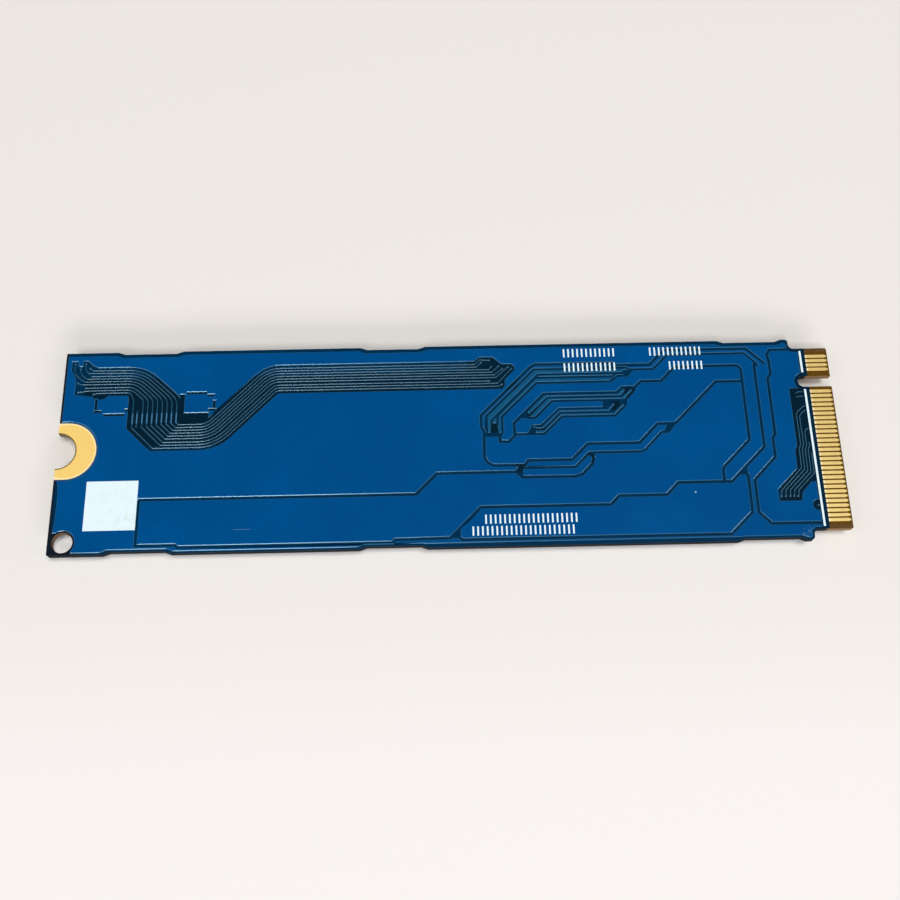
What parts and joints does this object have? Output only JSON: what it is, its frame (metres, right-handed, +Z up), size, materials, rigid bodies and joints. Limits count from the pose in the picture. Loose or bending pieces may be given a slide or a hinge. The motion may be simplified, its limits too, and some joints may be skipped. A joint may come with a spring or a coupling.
{
  "type": "m2 solid-state drive",
  "caption": "Slim solid-state drive card with a keyed edge connector at one end and a plated half hole for its screw at the other.",
  "frame": {"origin": "on the plane that the downward packages rest on, under the middle of the card", "axes": "+X along the card to the contact edge, +Y across the card to the key slot's side, +Z up through the bare side"},
  "size_m": [0.08, 0.022, 0.0022],
  "materials": {
    "laminate": "woven glass laminate, cut edge",
    "mask_film": "solder mask over bare laminate",
    "masked_copper": "blue solder mask over copper, semi gloss",
    "masked_lines": "blue solder mask over narrow copper lines",
    "gold": "gold plated copper, satin",
    "hole_plating": "gold plated hole wall",
    "legend_ink": "white printed legend",
    "component_mask": "blue solder mask, semi gloss",
    "tin": "tinned copper",
    "package_substrate": "green package substrate",
    "package_moulding": "black moulding compound",
    "solder": "solder",
    "inductor_core": "pressed iron powder",
    "crystal_ceramic": "dark ceramic",
    "crystal_metal": "stamped metal lid",
    "fuse_ceramic": "pale ceramic",
    "capacitor_ceramic": "sintered ceramic",
    "resistor_glaze": "black resistor glaze"
  },
  "bodies": {
    "root": {"laminate": "laminate", "bare_side_mask": "mask_film", "bare_side_copper": "masked_copper", "bus_lines": "masked_lines", "fan_out_lines": "masked_lines", "even_contacts": "gold", "odd_contacts": "gold", "screw_land_upper": "gold", "screw_land_lower": "gold", "screw_hole_plating": "hole_plating", "marking_square": "legend_ink", "contact_border": "legend_ink", "tally_marks": "legend_ink", "component_side_mask": "component_mask", "component_lands": "tin", "test_points": "gold", "component_legend": "legend_ink", "flash_1_substrate": "package_substrate", "flash_1_moulding": "package_moulding", "flash_1_balls": "solder", "flash_2_substrate": "package_substrate", "flash_2_moulding": "package_moulding", "flash_2_balls": "solder", "controller_substrate": "package_substrate", "controller_moulding": "package_moulding", "controller_balls": "solder", "power_circuit_body": "package_moulding", "power_circuit_leads": "tin", "inductor_cores": "inductor_core", "inductor_terminals": "tin", "load_switch_body": "package_moulding", "load_switch_leads": "tin", "boot_memory_body": "package_moulding", "boot_memory_leads": "tin", "crystal_base": "crystal_ceramic", "crystal_lid": "crystal_metal", "crystal_pads": "tin", "fuse_body": "fuse_ceramic", "fuse_ends": "tin", "bulk_capacitor_bodies": "capacitor_ceramic", "bulk_capacitor_ends": "tin", "small_capacitor_bodies": "capacitor_ceramic", "small_capacitor_ends": "tin", "coupling_capacitor_bodies": "capacitor_ceramic", "coupling_capacitor_ends": "tin", "resistor_bodies": "resistor_glaze", "resistor_ends": "tin"}
  },
  "joints": []
}
